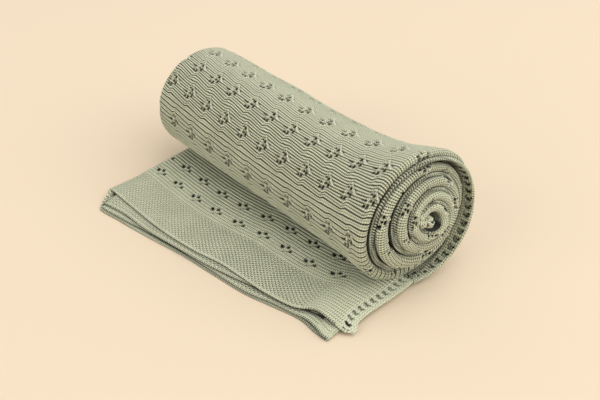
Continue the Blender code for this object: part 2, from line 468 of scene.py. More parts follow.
# eyelets of one leaf: places across and along from its middle, half widths across and along, and their turn
rollEyelets = {
    "across": (0.5, -2.3, 0.2, 3.1, -4.4, -0.5, -3.5, -6.6, 5.8),
    "along": (-3.3, -3.9, 0.2, 0.9, 0.8, 3.9, 4.4, 0.9, -3.2),
    "wide": (1.25, 0.95, 1.15, 1.15, 0.95, 1.15, 1.05, 1.2, 0.95),
    "long": (1.45, 0.8, 1.05, 2.0, 0.95, 1.7, 1.15, 0.6, 0.6),
    "turned": (0, 0, 0, -18, 0, 8, 0, 0, 20),
    "depth": (1.0, 0.9, 1.0, 1.0, 0.95, 1.0, 1.0, 0.8, 0.7),
}
hemEyelets = {
    "across": (-3.4, 1.0, 5.5, 1.1, 3.5),
    "along": (0.6, 3.0, 0.0, -3.5, -1.8),
    "wide": (1.45, 1.35, 1.45, 1.35, 1.0),
    "long": (2.4, 2.0, 1.45, 0.8, 0.8),
    "turned": (33, 25, 20, 25, 20),
    "depth": (1.0, 1.0, 1.0, 0.6, 0.55),
}
# raised yarns of a leaf on the roll: down its upper right, over its left, and at its tip
leafYarns = (
    {
        "across": (-1.0, 1.8, 4.5, 6.2, 8.2),
        "along": (-7.8, -4.6, -2.2, -1.2, -0.7),
        "width": 0.85,
        "height": 1.0,
    },
    {"across": (-5.4, -4.2, -1.2), "along": (-1.2, -3.2, -6.6), "width": 0.7, "height": 0.55},
    {"across": (-1.2, 0.8, 2.8), "along": (9.2, 6.8, 4.6), "width": 0.8, "height": 0.75},
)
borderMarks = {
    "pitch": 6.25,
    "fromEdge": (6.6, 4.9, 3.5),
    "along": (0.2, -0.3, 0.9),
    "wide": (1.05, 1.0, 0.8),
    "long": (1.9, 1.6, 0.9),
    "turned": (35, 30, 0),
    "depth": (1.0, 0.8, 0.7),
}
# the outer turn's slow waves: their height, and their radians for each millimetre
clothRipple = {"seed": 3, "waves": 7, "height": 0.5, "turns": (0.02, 0.12)}
# how an eyelet's rim, a leaf's calm ground, and its raised yarns with their grooves fade
leafShape = {
    "rimEnds": 1.5,
    "rimWidth": 1.1,
    "calm": (4.4, 5.6),
    "yarnStarts": 1.2,
    "yarnEnds": 1.6,
    "groove": 0.6,
    "grooveAt": 1.9,
    "grooveWidth": 0.65,
}


def leafRows(pattern, start, end):
    # (place along, first place across) of each row of leaves between two lengths
    rows = []
    first = math.ceil((start - pattern["firstRow"]) / pattern["rowPitch"]) - 1
    last = math.floor((end - pattern["firstRow"]) / pattern["rowPitch"]) + 1
    for row in range(first, last + 1):
        at = pattern["firstRow"] + row * pattern["rowPitch"]
        across = pattern["evenStart"] if row % 2 == 0 else pattern["oddStart"]
        if pattern is rollPattern:
            across = across + np.interp(at, pattern["unevenAt"], pattern["unevenAcross"], 0, 0)
            at = at + np.interp(at, pattern["unevenAt"], pattern["unevenAlong"], 0, 0)
        rows.append((at, across))
    return rows


def fromLeaf(pattern, start, u):
    pitch = pattern["leafPitch"]
    return (u - start + pitch / 2) % pitch - pitch / 2


def pushOf(pattern, u, length, rows):
    # how far the ribs are moved along the strip by the leaves
    push = 0 * u
    pitch = pattern["leafPitch"]
    for at, start in rows:
        for k in range(2):
            across = (u - start - pattern["stepStart"][k]) % pitch
            width = pattern["stepWidth"][k]
            sinks = 2 * (across - width) / (pitch - width) - 1
            wave = np.where(across < width, 1 - 2 * ease(across / width), sinks)
            near = np.exp(-((length - at - pattern["stepAlong"][k]) / pattern["stepReach"]) ** 2)
            push = push + pattern["stepHeight"][k] * wave * near
    return push


def hollowOf(table, i, across, along):
    # 1 in the middle of an eyelet, 0 just past its rim
    turned = math.radians(table["turned"][i])
    x = across * math.cos(turned) + along * math.sin(turned)
    y = along * math.cos(turned) - across * math.sin(turned)
    distance = np.sqrt((x / table["wide"][i]) ** 2 + (y / table["long"][i]) ** 2)
    return ease((leafShape["rimEnds"] - distance) / leafShape["rimWidth"]) * table["depth"][i]


def leafRelief(pattern, eyelets, u, length, rows):
    # eyelets, raised yarns with a groove at each side, and the calm ground of the leaves
    eyelet, ridge, groove, calm = 0 * u, 0 * u, 0 * u, 0 * u
    calmWide, calmLong = leafShape["calm"]
    for at, start in rows:
        across = fromLeaf(pattern, start, u)
        along = length - at
        for i in range(len(eyelets["across"])):
            hole = hollowOf(eyelets, i, across - eyelets["across"][i], along - eyelets["along"][i])
            eyelet = np.maximum(eyelet, hole)
        calm = np.maximum(calm, np.exp(-(across / calmWide) ** 4 - (along / calmLong) ** 4))
        if pattern is rollPattern:
            for path in leafYarns:
                middle = np.interp(across, path["across"], path["along"])
                shown = ease((across - path["across"][0]) / leafShape["yarnStarts"] + 0.5)
                shown = shown * ease((path["across"][-1] - across) / leafShape["yarnEnds"] + 0.5)
                beside = np.abs(along - middle) / path["width"]
                ridge = np.maximum(ridge, path["height"] * np.exp(-beside ** 2) * shown)
                sides = np.exp(-((beside - leafShape["grooveAt"]) / leafShape["grooveWidth"]) ** 2)
                groove = np.maximum(groove, leafShape["groove"] * path["height"] * sides * shown)
    return eyelet, ridge, groove * (1 - ridge), calm


def markRelief(edge, u, length):
    # the slanting slots inside a free edge
    pitch = borderMarks["pitch"]
    along = (length + pitch / 2) % pitch - pitch / 2
    marks = 0 * u
    for i in range(len(borderMarks["along"])):
        across = u - (edge - borderMarks["fromEdge"][i])
        marks = np.maximum(marks, hollowOf(borderMarks, i, across, along - borderMarks["along"][i]))
    return marks


def dotRelief(u, length):
    # the staggered dots of the hem
    rowPitch = hemPattern["rib"] / 2
    row = np.round(length / rowPitch)
    along = length - row * rowPitch
    place = u / hemPattern["dotPitch"] + 0.5 * (row % 2)
    across = (place - np.round(place)) * hemPattern["dotPitch"]
    return np.exp(-(across / hemPattern["dotWide"]) ** 2 - (along / hemPattern["dotLong"]) ** 2)


def ripple(u, length):
    # slow unevenness, from a few fixed waves
    rng = np.random.default_rng(clothRipple["seed"])
    total = 0 * u
    for i in range(clothRipple["waves"]):
        waveU, waveL = rng.uniform(*clothRipple["turns"], 2)
        total = total + np.sin(u * waveU + length * waveL * (1 if i % 2 else -1) + rng.uniform(0, 6.28))
    return total / clothRipple["waves"]


# Nodes: one class for a socket in sums, and one that adds nodes to a tree

class Strand:
    def __init__(self, loom, socket):
        self.loom = loom
        self.socket = socket

    def __add__(self, other):
        return self.loom.maths("ADD", self, other)

    def __radd__(self, other):
        return self.loom.maths("ADD", other, self)

    def __sub__(self, other):
        return self.loom.maths("SUBTRACT", self, other)

    def __rsub__(self, other):
        return self.loom.maths("SUBTRACT", other, self)

    def __mul__(self, other):
        return self.loom.maths("MULTIPLY", self, other)

    def __rmul__(self, other):
        return self.loom.maths("MULTIPLY", other, self)

    def __truediv__(self, other):
        return self.loom.maths("DIVIDE", self, other)

    def __pow__(self, other):
        return self.loom.maths("POWER", self, other)


class Loom:
    def __init__(self, tree):
        self.tree = tree

    def node(self, kind, settings=None, values=None):
        made = self.tree.nodes.new(kind)
        for name, value in (settings or {}).items():
            setattr(made, name, value)
        for name, value in (values or {}).items():
            self.feed(made.inputs[name], value)
        return made

    def feed(self, socket, value):
        if isinstance(value, Strand):
            self.tree.links.new(value.socket, socket)
        elif isinstance(value, bpy.types.NodeSocket):
            self.tree.links.new(value, socket)
        else:
            socket.default_value = value

    def take(self, made, output=0):
        return Strand(self, made.outputs[output])

    def maths(self, operation, *operands, clamp=False):
        settings = {"operation": operation, "use_clamp": clamp}
        return self.take(self.node("ShaderNodeMath", settings, dict(enumerate(operands))))

    def blend(self, factor, low, high):
        made = self.node("ShaderNodeMix", {"data_type": "RGBA"}, {0: factor, 6: low, 7: high})
        return self.take(made, 2)


# Geometry Nodes: the knitted relief, raised from the smooth cloth

relief = {
    "Rib height": 0.7,
    "Deep furrow": 0.5,
    "Ridge height": 0.75,
    "Eyelet depth": 1.5,
    "Dot depth": 0.6,
    "Open above": 0.66,
}
# powers of the waves that make the ribs and the furrows, and the share of the dots and other sunk marks in
# the painted shade
ribForm = {"rib": 0.7, "furrow": 7.0, "dotsAndPaintedShade": 0.95}


def knitTree():
    tree = bpy.data.node_groups.new("knitted relief", "GeometryNodeTree")
    tree.interface.new_socket("Geometry", in_out="OUTPUT", socket_type="NodeSocketGeometry")
    tree.interface.new_socket("Geometry", in_out="INPUT", socket_type="NodeSocketGeometry")
    for name in relief:
        tree.interface.new_socket(name, in_out="INPUT", socket_type="NodeSocketFloat")
    tree.interface.new_socket("Yarn", in_out="INPUT", socket_type="NodeSocketMaterial")
    loom = Loom(tree)
    given = loom.node("NodeGroupInput")

    def size(name):
        return Strand(loom, given.outputs[name])

    def field(name, kind="FLOAT"):
        found = loom.node("GeometryNodeInputNamedAttribute", {"data_type": kind}, {"Name": name})
        return loom.take(found, "Attribute")

    phase = field("ribPhase") * math.pi
    rib = loom.maths("ABSOLUTE", loom.maths("SINE", phase)) ** ribForm["rib"]
    furrow = (0.5 + 0.5 * loom.maths("COSINE", phase)) ** ribForm["furrow"] * field("ribPaired")
    ribHeight = size("Rib height") * (rib - furrow * size("Deep furrow")) * field("ribStrength")
    height = ribHeight + size("Ridge height") * field("ridge") - size("Eyelet depth") * field("eyelet")
    height = height - size("Dot depth") * field("dotsAndPaintedShade")
    offset = loom.node(
        "ShaderNodeVectorMath",
        {"operation": "SCALE"},
        {0: field("outward", "FLOAT_VECTOR"), "Scale": height * mm},
    )
    # painted shade: how dark the yarn is painted in the eyelets and in the sunk marks of dots, grooves and
    # crevices
    hollow = loom.maths("MAXIMUM", field("eyelet"), field("dotsAndPaintedShade") * ribForm["dotsAndPaintedShade"])
    cut = loom.maths("GREATER_THAN", field("eyelet"), size("Open above"))
    stored = {"data_type": "FLOAT", "domain": "POINT"}
    faces = {"domain": "FACE", "mode": "ALL"}
    steps = (
        ("GeometryNodeSetPosition", {}, {"Offset": offset.outputs[0]}),
        ("GeometryNodeStoreNamedAttribute", stored, {"Name": "hollow", "Value": hollow}),
        ("GeometryNodeDeleteGeometry", faces, {"Selection": cut}),
        ("GeometryNodeRealizeInstances", {}, {}),
        ("GeometryNodeSetMaterial", {}, {"Material": size("Yarn")}),
    )
    geometry = given.outputs["Geometry"]
    for kind, settings, values in steps:
        geometry = loom.node(kind, settings, {"Geometry": geometry, **values}).outputs[0]
    tree.links.new(geometry, loom.node("NodeGroupOutput").inputs[0])
    return tree


def addObject(name, data):
    made = bpy.data.objects.new(name, data)
    bpy.context.scene.collection.objects.link(made)
    return made


def setInputs(modifier, values):
    for item in modifier.node_group.interface.items_tree:
        if item.item_type == "SOCKET" and item.in_out == "INPUT" and item.name in values:
            modifier[item.identifier] = values[item.name]


def plainMesh(rough, name):
    # the evaluated object as a plain mesh on an object of its own
    depsgraph = bpy.context.evaluated_depsgraph_get()
    mesh = bpy.data.meshes.new_from_object(rough.evaluated_get(depsgraph))
    mesh.name = name
    piece = addObject(name, mesh)
    old = rough.data
    bpy.data.objects.remove(rough, do_unlink=True)
    bpy.data.meshes.remove(old)
    return piece


# Materials

yarnLook = {
    # the first colour is a painted highlight on raised yarns, light and middle are the yarn's own tones,
    # furrow is the painted shade in the furrows and between the stitches, and hole is the painted shade in
    # the holes and where layers meet
    "paintedRidgeHighlight": (0.82, 0.85, 0.65, 1),
    "light": (0.80, 0.83, 0.61, 1),
    "middle": (0.41, 0.435, 0.295, 1),
    "furrow": (0.024, 0.028, 0.013, 1),
    "hole": (0.02, 0.022, 0.012, 1),
    "stitch": 1.75,              # one stitch along a rib, in millimetres
    "lean": 0.9,                 # how far it leans across half a rib, as a share of a stitch
    "cloudScale": 60.0,          # slow patches in the colour, and single fibres
    "cloudDetail": 3.0,
    "fibreScale": 1900.0,
    "fibreDetail": 2.0,
    "toneShares": {"cloud": 0.55, "stitches": 0.4, "fibre": 0.1},
    # how far the raised yarns are painted towards the highlight
    "ridgeLight": 0.8,
    "furrowEdge": 1.12,          # furrows are narrower where this is larger
    "furrowWidens": 0.3,         # by this much wider between two pairs of ribs
    "furrowPaired": 0.75,        # and weaker inside a pair
    "furrowDark": 1.55,
    "furrowBreaks": 0.6,         # stitches cross the furrows
    "pairedWhole": 2.5,          # but not those of paired ribs
    "gaps": 0.75,                # painted shade between the stitches
    "gapsOffCourse": 0.3,
    "hollow": 1.15,              # painted shade in the holes, and where layers meet
    "bumpShares": {"stitches": 0.7, "fibre": 0.4, "ribs": 0.8},
    "bump": 0.8,
    "bumpDepth": 0.0007,         # in metres
    "sheen": 0.2,
    "sheenRoughness": 0.5,
    "specular": 0.2,
    "roughness": 0.9,
}


def sageYarn():
    look = yarnLook
    material = bpy.data.materials.new("sage cotton yarn")
    material.use_nodes = True
    material.node_tree.nodes.clear()
    loom = Loom(material.node_tree)
    weave = loom.node("ShaderNodeAttribute", {"attribute_name": "weave"})
    parts = loom.node("ShaderNodeSeparateXYZ", {}, {0: weave.outputs["Vector"]})
    across = Strand(loom, parts.outputs["X"])
    ribs = Strand(loom, parts.outputs["Y"])
    strength = Strand(loom, parts.outputs["Z"])

    def field(name):
        return loom.take(loom.node("ShaderNodeAttribute", {"attribute_name": name}), "Fac")

    place = loom.node("ShaderNodeTexCoord").outputs["Object"]

    def noise(scale, detail):
        values = {"Vector": place, "Scale": scale, "Detail": detail}
        return loom.take(loom.node("ShaderNodeTexNoise", {}, values), "Fac")

    cloud = noise(look["cloudScale"], look["cloudDetail"])
    fibre = noise(look["fibreScale"], look["fibreDetail"])

    # painted shade: narrow dark furrows between the ribs, every other one deeper where the ribs lie in pairs
    wave = loom.maths("ABSOLUTE", loom.maths("SINE", ribs * math.pi))
    paired = field("ribPaired")
    outer = 0.5 + 0.5 * loom.maths("COSINE", ribs * math.pi)
    crown = wave * (look["furrowEdge"] - look["furrowWidens"] * outer * paired)
    furrow = loom.maths("SUBTRACT", 1.0, crown, clamp=True)
    furrow = furrow * (1.0 - look["furrowPaired"] * paired * (1.0 - outer)) * strength * look["furrowDark"]
    broken = 1.0 - loom.maths("MULTIPLY", paired, look["pairedWhole"], clamp=True)
    # each stitch leans one way on one half of its rib and the other way on the other half
    lean = loom.maths("ABSOLUTE", loom.maths("FRACT", ribs) - 0.5) * look["lean"]
    stitches = 0.5 + 0.5 * loom.maths("SINE", (across / look["stitch"] + lean) * (2 * math.pi))
    furrow = furrow * (1.0 - broken * stitches * look["furrowBreaks"])
    share = look["bumpShares"]
    height = stitches * share["stitches"] + fibre * share["fibre"] + wave * share["ribs"] * strength

    share = look["toneShares"]
    # the yarn's own uneven tone from slow patches and fibres, with painted light and shade across each
    # stitch
    uneven = cloud * share["cloud"] + stitches * share["stitches"] + fibre * share["fibre"]
    tone = loom.blend(uneven, look["middle"], look["light"])
    # painted highlight on the raised yarns
    tone = loom.blend(field("ridge") * look["ridgeLight"], tone, look["paintedRidgeHighlight"])
    # painted shade in the gaps between the stitches, stronger along the courses where there are no ribs
    courses = 0.5 + 0.5 * loom.maths("COSINE", ribs * (4 * math.pi))
    least = look["gapsOffCourse"]
    gaps = (1.0 - stitches) ** 2.0 * (least + (1.0 - least) * courses * (1.0 - strength)) * look["gaps"]
    gaps = gaps * (1.0 - field("even"))
    # painted shade of the furrows and of the gaps between the stitches
    tone = loom.blend(loom.maths("ADD", furrow, gaps, clamp=True), tone, look["furrow"])
    # painted shade in the holes, in the crevices and where layers meet
    dark = loom.maths("MULTIPLY", field("hollow"), look["hollow"], clamp=True)
    colour = loom.blend(dark, tone, look["hole"])
    raised = {"Strength": look["bump"], "Distance": look["bumpDepth"], "Height": height}
    bump = loom.node("ShaderNodeBump", {}, raised)
    shader = loom.node(
        "ShaderNodeBsdfPrincipled",
        {},
        {
            "Base Color": colour,
            "Roughness": look["roughness"],
            "Sheen Weight": look["sheen"],
            "Sheen Roughness": look["sheenRoughness"],
            "Specular IOR Level": look["specular"],
            "Normal": bump.outputs["Normal"],
        },
    )
    out = loom.node("ShaderNodeOutputMaterial")
    material.node_tree.links.new(shader.outputs[0], out.inputs[0])
    return material


# One piece of cloth: a grid over the section's runs and the strip's courses

patternNames = ("ribPhase", "ribPaired", "ribStrength", "ridge", "eyelet", "dotsAndPaintedShade", "even")
probe = 0.1                      # a step off the cloth, to find the way that its relief is raised
knit = knitTree()
yarn = sageYarn()
pieces = {}                      # each piece, with the width and the length of its cloth laid flat


def layCloth(name, section, course, fields, lengthOf, tip=0.0, endsAt=None):
    # section gives the runs for the courses' edges; fields gives the pattern's attributes
    course = np.asarray(course)[:, None]
    edges = edgesOf(course)
    skin = joinRuns(section(edges))
    shape = skin["across"].shape
    tip = np.broadcast_to(np.reshape(tip, (-1, 1)), shape)
    course = np.broadcast_to(course, shape)
    lift = sheetAt(ease(course)) / 2 + noseSwell["height"] / 2 * skin["swell"]
    if endsAt:
        left = (1 + endsAt - course) * 2 * math.pi * layOfRoll["coreRadius"]
        lift = lift * np.sqrt(np.clip(1 - (1 - np.minimum(left, 1)) ** 2, 0, 1))
    skin["u"] = measureAcross(skin, lift)
    pattern = {key: np.zeros(shape) for key in patternNames}
    pattern.update(fields(skin, course, edges))
    course = pattern.pop("course", course)
    points = placeCloth(skin, course, tip, lift + pattern.pop("wave", 0))
    base = placeCloth(skin, course, tip, np.maximum(lift, probe))
    raised = placeCloth(skin, course, tip, np.maximum(lift, probe) + probe)
    outward = (raised - base) / np.maximum(np.linalg.norm(raised - base, axis=-1, keepdims=True), 1e-12)

    rows, columns = shape
    index = np.arange(rows * columns).reshape(rows, columns)
    quads = np.stack([index[:-1, :-1], index[:-1, 1:], index[1:, 1:], index[1:, :-1]], -1).reshape(-1, 4)
    facing = np.cross(points[:-1, 1:] - points[:-1, :-1], points[1:, :-1] - points[:-1, :-1])
    if (facing * outward[:-1, :-1]).sum() < 0:
        quads = quads[:, ::-1]
    mesh = bpy.data.meshes.new(name)
    mesh.from_pydata(points.reshape(-1, 3), [], quads.tolist())
    mesh.shade_smooth()
    weave = np.stack([skin["u"], pattern["ribPhase"], pattern["ribStrength"] + 0 * skin["u"]], -1)
    addAttribute(mesh, "outward", "FLOAT_VECTOR", outward)
    addAttribute(mesh, "weave", "FLOAT_VECTOR", weave)
    for key in patternNames:
        addAttribute(mesh, key, "FLOAT", np.broadcast_to(pattern[key], shape))
    rough = addObject(name + "_smooth", mesh)
    modifier = rough.modifiers.new("knit", "NODES")
    modifier.node_group = knit
    setInputs(modifier, {**relief, "Yarn": yarn})
    piece = plainMesh(rough, name)
    for key in ("outward", "ribPhase", "ribStrength", "eyelet", "dotsAndPaintedShade"):
        piece.data.attributes.remove(piece.data.attributes[key])
    middle = skin["u"][rows // 2]
    pieces[name] = (piece, float(np.ptp(middle)) * mm, float(lengthOf) * mm)
    print("laid", name, len(piece.data.polygons) * 2, "triangles")


def addAttribute(mesh, name, kind, values):
    attribute = mesh.attributes.new(name, kind, "POINT")
    values = np.ascontiguousarray(values, dtype=np.float32).ravel()
    attribute.data.foreach_set("vector" if kind == "FLOAT_VECTOR" else "value", values)


def evenly(start, end, step):
    return np.linspace(start, end, max(2, round((end - start) / step) + 1))


def toEvery(length, skin):
    # the rows' lengths for every place of the grid
    return np.broadcast_to(length[:, None], skin["u"].shape)


# how far in from its tip a nose's flank goes dark, and over how much: away from the core, and towards it
noseShadow = {"outer": (3.0, 1.8), "inner": (1.6, 1.2)}


def noseShade(skin, edges):
    # 1 on a nose's flanks, where they go in beside the next layer
    deep = edges["nose"] - skin["across"]
    return np.where(skin["outIn"] < 0, rise(deep, noseShadow["outer"]), rise(deep, noseShadow["inner"]))


# Plain cloth: ribs alone, or with leaves, and a layer seen only through the holes of another, painted dark
# as the shade behind them

plainCloth = {"rib": 2.0, "strength": 0.7, "calmed": 0.7}
shadedEyelet = 0.64              # nearly a hole: the layer sinks and is painted with the dark shade seen through the holes above it


def plainRibs(length, strength=plainCloth["strength"], leaves=None):
    def fields(skin, course, edges):
        along = toEvery(length, skin)
        found = {"ribPhase": along / plainCloth["rib"], "ribPaired": 0.0, "ribStrength": strength}
        if leaves:
            rows = leafRows(leaves, length.min(), length.max())
            eyelet, ridge, _, calm = leafRelief(leaves, rollEyelets, skin["u"], along, rows)
            found["eyelet"] = eyelet
            found["ridge"] = ridge * (1 - eyelet)
            found["ribStrength"] = strength * (1 - plainCloth["calmed"] * calm)
        return found
    return fields


def shaded(skin, course, edges):
    return {"eyelet": shadedEyelet}


# The roll's outer turn

rollSheet = {
    "across": 245,               # the columns are counted over this width
    "rowStep": 4.05 / 10,
    "backRowStep": 4.05 / 8,
    "columnStep": 0.92,
    "backColumnStep": 1.6,
    "parted": (0.44, 0.74),      # the sheet is made in three
    "ends": 1.045,
    "foldSteps": 6,
    "noseSteps": 14,
    "under": 6,                  # it goes on behind the nose
    "underSteps": 5,
}
outerTurnBacking = {"starts": 0.01, "ends": 1.06, "rowStep": 3.0, "columnStep": 4.0}
# the ribs are pulled flatter over the top of the roll, and lie in pairs on its lower front
flattened = {"turn": 0.48, "by": 0.62, "width": 24}
pairing = {"least": 0.35, "full": (202, 6)}
# the rows lie straight under the roll and at its end
archStarts, archEnds = 60, 12


def outerLength(turn):
    return float(np.interp(turn, turnSteps, outerArc))


outerEnd = outerLength(rollSheet["ends"])


def rollStrength(length):
    top = outerArc[np.searchsorted(turnSteps, flattened["turn"])]
    return 1 - flattened["by"] * np.exp(-((length - top) / flattened["width"]) ** 2)


def rollFields(length):
    # ribs and leaves; the ribs themselves give way round the leaves, so the courses are moved with them
    def fields(skin, course, edges):
        u = skin["u"]
        rows = leafRows(rollPattern, length.min(), length.max())
        along = toEvery(length, skin)
        pushed = along + pushOf(rollPattern, u, along, rows)
        eyelet, ridge, groove, calm = leafRelief(rollPattern, rollEyelets, u, pushed, rows)
        arch = rollPattern["arch"] * ((u - rollPattern["archMiddle"]) / rollPattern["archHalf"]) ** 2
        inside = skin["outIn"] > 0
        arched = ease(along / archStarts) * fall(along, (outerEnd, archEnds))
        return {
            "course": courseAt(np.maximum(pushed - arch * arched, 0.001)),
            "wave": clothRipple["height"] * ripple(u, along),
            "ribPhase": along / rollPattern["rib"],
            "ribPaired": pairing["least"] + (1 - pairing["least"]) * rise(along, pairing["full"]),
            "ribStrength": rollStrength(along) * (1 - rollPattern["calmed"] * calm) * (1 - ridge),
            "ridge": ridge * (1 - eyelet),
            "eyelet": eyelet,
            # the grooves beside the raised yarns, and the nose's flanks on the inside, sink and take painted
            # shade
            "dotsAndPaintedShade": np.maximum(groove * rollStrength(along), noseShade(skin, edges) * inside),
        }
    return fields


def rollOuter(name, startTurn, endTurn, rowStep, columnStep):
    start = outerLength(startTurn)
    end = outerLength(endTurn)
    length = np.arange(round(start / rowStep), round(end / rowStep) + 1) * rowStep
    columns = round(rollSheet["across"] / columnStep)

    def section(edges):
        straight = edges["straight"]
        return [
            foldRun(edges, 0, -90, rollSheet["foldSteps"]),
            layerRun(edges, "bottom", -1, edges["foldEnds"], straight, columns),
            noseRun(edges, -90, 90, rollSheet["noseSteps"]),
            layerRun(edges, "third", 1, straight, straight - rollSheet["under"], rollSheet["underSteps"]),
        ]
    layCloth(name, section, courseAt(length), rollFields(length), end - start)


def rollBacking():
    # the layer behind the holes, painted dark as the shade seen through them
    starts, ends = outerTurnBacking["starts"], outerLength(outerTurnBacking["ends"])
    length = evenly(starts, ends, outerTurnBacking["rowStep"])
    columns = round(rollSheet["across"] / outerTurnBacking["columnStep"])

    def section(edges):
        return [layerRun(edges, "third", -1, innerFold["ends"], edges["straight"], columns)]
    layCloth("roll_third_layer", section, courseAt(length), shaded, np.ptp(length))


firstPart, secondPart = rollSheet["parted"]
rollOuter("roll_back", 0.0, firstPart, rollSheet["backRowStep"], rollSheet["backColumnStep"])
rollOuter("roll_top", firstPart, secondPart, rollSheet["rowStep"], rollSheet["columnStep"])
rollOuter("roll_front", secondPart, rollSheet["ends"], rollSheet["rowStep"], rollSheet["columnStep"])
rollBacking()


# The roll's right end: the wound nose and the two free edges beside it

endBands = {
    "from": 226.0,               # the wound nose begins this far across, and its upper layer here
    "fromInside": 230.0,
    "across": 242.0,             # lengths are measured here
    "noseStarts": 1.03,          # in turns
    "flankSteps": (13, 9),
    "noseSteps": 16,
    "rimSteps": 7,
    "rowStep": 0.46,
    "edgeRowStep": 0.6,
}
# towards the core the nose's ribs fade and the painted shade on its flanks is lighter: a course, and the way
# that it takes
coreFades = {
    "ribs": 0.65,
    "ribsOver": (3.3, 1.6),
    "dark": (0.35, 0.3),
    "darkOver": ((3.2, 1.2), (4.9, 0.3)),
    "unshaded": (5.66, 0.06),        # the tucked end has no painted shade on the side towards the hole
    "paleSide": -0.4,
}
# the second and the top layer's rims make one braid of stitches
braid = {
    "strength": 0.5,
    "pitch": 2.2,                # from stitch to stitch
    "twist": 0.3,
    "rim": (3.2, 1.5),           # it ends this far in, and fades over this much
    # painted shade on the side that is turned away from the other rim, and further in on the other side
    "awayRound": (0.2, 0.35),
    "awayIn": (1.9, 1.2),
}
# the top layer's edge in the outer turn, with slots from the floor line to the roll's back
slotted = {
    "inside": 0.3,               # this far round from the rim to the side towards the core
    "ends": (0.3, 0.25),         # in turns
    "out": 2.0,                  # past this turn the slots lie further out
    "outFull": 0.12,
    "fade": (0.02, 0.25),
    "braidFades": 0.85,
    "shade": (-0.9, 2.2),        # dark where the next turn's nose lies on it
    "shadeLeast": 0.45,
    "shadeFull": (0.05, 0.1),
}


def arcAlong(level, across, start, end, step):
    # even lengths along one level of the roll, and the courses there
    arc = arcAt(level, across)
    first, last = np.interp((start, end), turnSteps, arc)
    length = evenly(first, last, step)
    return length, 1 + np.interp(length, arc, turnSteps)


def stitchedEdge(length, edgeName):
    way = 1 if edgeName == "secondEdge" else -1

    def fields(skin, course, edges):
        found = plainRibs(length, braid["strength"])(skin, course, edges)
        along = toEvery(length, skin)
        facing = skin["outIn"]
        deep = edges[edgeName] - skin["across"]
        rim = fall(deep, braid["rim"])
        stitches = 0.5 + 0.5 * np.sin(2 * math.pi * (along / braid["pitch"] + braid["twist"] * way * facing))
        turnedAway = rise(np.abs(facing), braid["awayRound"])
        away = np.where(way * facing < 0, turnedAway, rise(deep, braid["awayIn"]))
        # the braid's stitches are raised with a painted highlight, and sink with painted shade between them
        # and on the flanks beside the other rim
        found["ridge"] = rim * stitches
        found["dotsAndPaintedShade"] = np.maximum(rim * (1 - stitches), away)
        return found
    return fields


def outerTurnEdge(length):
    # the same braid along the front of the roll, and larger slots at its back
    braided = stitchedEdge(length, "topEdge")

    def fields(skin, course, edges):
        found = braided(skin, course, edges)
        deep = edges["topEdge"] - skin["across"]
        turn = course - 1
        inner = skin["outIn"] > slotted["inside"]
        unbraided = 1 - rise(turn, slotted["ends"])
        edge = edges["topEdge"] + slotted["out"] * ease(turn / slotted["outFull"])
        slots = markRelief(edge, skin["u"], toEvery(length, skin)) * inner
        seen = edges["topEdge"] - readTable(turnTable, "nose", turn + 1)
        dark = slotted["shadeLeast"] + (1 - slotted["shadeLeast"]) * rise(turn, slotted["shadeFull"])
        shade = np.where(inner, rise(deep - seen, slotted["shade"]) * dark, 0)
        shade = np.maximum(shade, rise(slots, slotted["fade"]))
        found["ridge"] = found["ridge"] * (1 - slotted["braidFades"] * unbraided)
        found["dotsAndPaintedShade"] = np.maximum(found["dotsAndPaintedShade"] * (1 - unbraided), shade * unbraided)
        found["eyelet"] = slots * unbraided
        return found
    return fields


def woundNose():
    ends = stripTip["turn"]
    starts = endBands["noseStarts"]
    length, course = arcAlong(noseLevel, endBands["across"], starts, ends, endBands["rowStep"])

    def section(edges):
        straight = edges["straight"]
        lower, upper = endBands["flankSteps"]
        return [
            layerRun(edges, "bottom", -1, endBands["from"] + 0 * straight, straight, lower),
            noseRun(edges, -90, 90, endBands["noseSteps"]),
            layerRun(edges, "third", 1, straight, endBands["fromInside"] + 0 * straight, upper),
        ]
    fading = (1 - coreFades["ribs"] * rise(course, coreFades["ribsOver"]))[:, None]
    ribs = plainRibs(length, fading, rollPattern)

    def fields(skin, course, edges):
        # painted shade on the nose's flanks, lighter towards the core and none on the tucked end's side
        # towards the hole
        unshaded = rise(course, coreFades["unshaded"]) * (skin["outIn"] > coreFades["paleSide"])
        dark = 1
        for share, over in zip(coreFades["dark"], coreFades["darkOver"]):
            dark = dark - share * rise(course, over)
        return {**ribs(skin, course, edges), "dotsAndPaintedShade": noseShade(skin, edges) * (1 - unshaded) * dark}
    layCloth("wound_nose", section, course, fields, np.ptp(length), endsAt=ends)


def woundEdge(name, layerName, start, end, rowStep, inside, outside, columns):
    # a free edge in the roll: the face towards the core reaches further in than the other
    edgeName = layerName + "Edge"
    length, course = arcAlong(levels[layerName], endBands["across"], start, end, rowStep)

    def section(edges):
        edge = edges[edgeName]
        return [
            layerRun(edges, layerName, 1, edge - inside, edge, columns),
            rimRun(edges, layerName, endBands["rimSteps"]),
            layerRun(edges, layerName, -1, edge, edge - outside, max(2, columns // 3)),
        ]
    inCore = end == layOfRoll["turns"]
    outerTurn = layerName == "top" and not inCore
    fields = outerTurnEdge(length) if outerTurn else stitchedEdge(length, edgeName)
    layCloth(name, section, course, fields, np.ptp(length), endsAt=end if inCore else None)


turns, step = layOfRoll["turns"], endBands["edgeRowStep"]
woundNose()
woundEdge("top_edge_outer_turn", "top", 0.0, 1.05, 0.55, inside=30, outside=6, columns=36)
woundEdge("top_edge_inner_turns", "top", 1.05, turns, step, inside=14, outside=5, columns=12)
woundEdge("second_edge", "second", 0.0, turns, step, inside=6, outside=5, columns=8)


# The roll's left end: the outer fold, wound

stub, stubSteps = 6, 3           # it goes on past the fold


